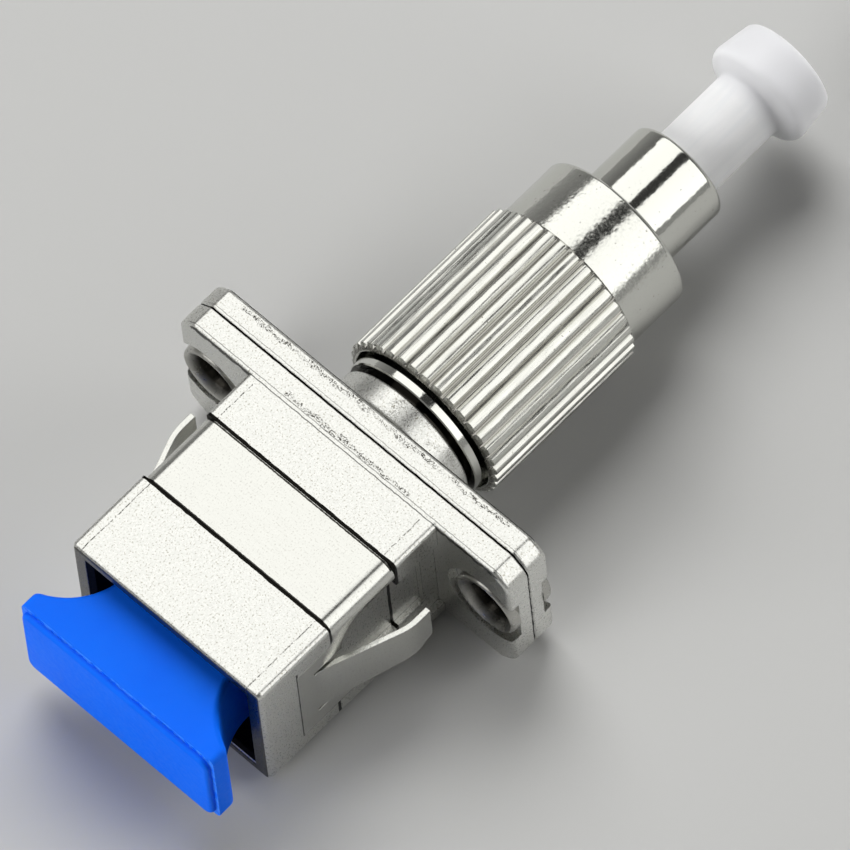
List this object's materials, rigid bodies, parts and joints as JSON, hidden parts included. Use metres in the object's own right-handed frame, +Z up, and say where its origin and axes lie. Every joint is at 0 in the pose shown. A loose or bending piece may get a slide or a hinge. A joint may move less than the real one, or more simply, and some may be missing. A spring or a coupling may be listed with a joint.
{
  "type": "hybrid fibre adapter",
  "caption": "Flanged metal fibre adapter with a latching rectangular socket at one end, a knurled screw coupling with a capped ferrule at the other, and push-in dust covers.",
  "frame": {"origin": "on the optical axis, in the flange face that meets the panel, midway between the flange holes", "axes": "+X along the optical axis towards the ferrule plug, Y along the flange, +Z up"},
  "size_m": [0.0493, 0.023, 0.0102],
  "materials": {
    "cast_nickel": "satin",
    "turned_nickel": "polished",
    "rivet_metal": "polished",
    "spring_steel": "satin",
    "moulded_insert": "satin",
    "zirconia": "gloss",
    "glass_fibre": "gloss",
    "blue_polyethylene": "satin",
    "clear_polyethylene": "satin"
  },
  "bodies": {
    "root": {"sc_housing": "cast_nickel", "fc_housing": "cast_nickel", "flange_rivet_left": "rivet_metal", "flange_rivet_right": "rivet_metal", "retention_clip": "spring_steel", "latch_insert": "moulded_insert", "sleeve_holder_back": "moulded_insert", "split_sleeve": "zirconia", "ferrule": "zirconia", "fibre": "glass_fibre", "ferrule_collar": "turned_nickel", "fc_barrel": "turned_nickel"},
    "nut_ring": {"nut_snap_ring": "spring_steel"},
    "nut": {"coupling_nut": "turned_nickel"},
    "dust_plug": {"sc_dust_plug": "blue_polyethylene"},
    "tip_cap": {"ferrule_cap": "clear_polyethylene"}
  },
  "joints": [
    {"name": "nut_slide", "type": "slide", "parent": "root", "child": "nut_ring", "axis": [1, 0, 0], "range_m": [0, 0.0024]},
    {"name": "nut_spin", "type": "hinge", "parent": "nut_ring", "child": "nut", "pos_m": [0.0125, 0, 0], "axis": [1, 0, 0], "continuous": true},
    {"name": "plug_pull", "type": "slide", "parent": "root", "child": "dust_plug", "axis": [-1, 0, 0], "range_m": [0, 0.01]},
    {"name": "cap_pull", "type": "slide", "parent": "root", "child": "tip_cap", "axis": [1, 0, 0], "range_m": [0, 0.013]}
  ]
}
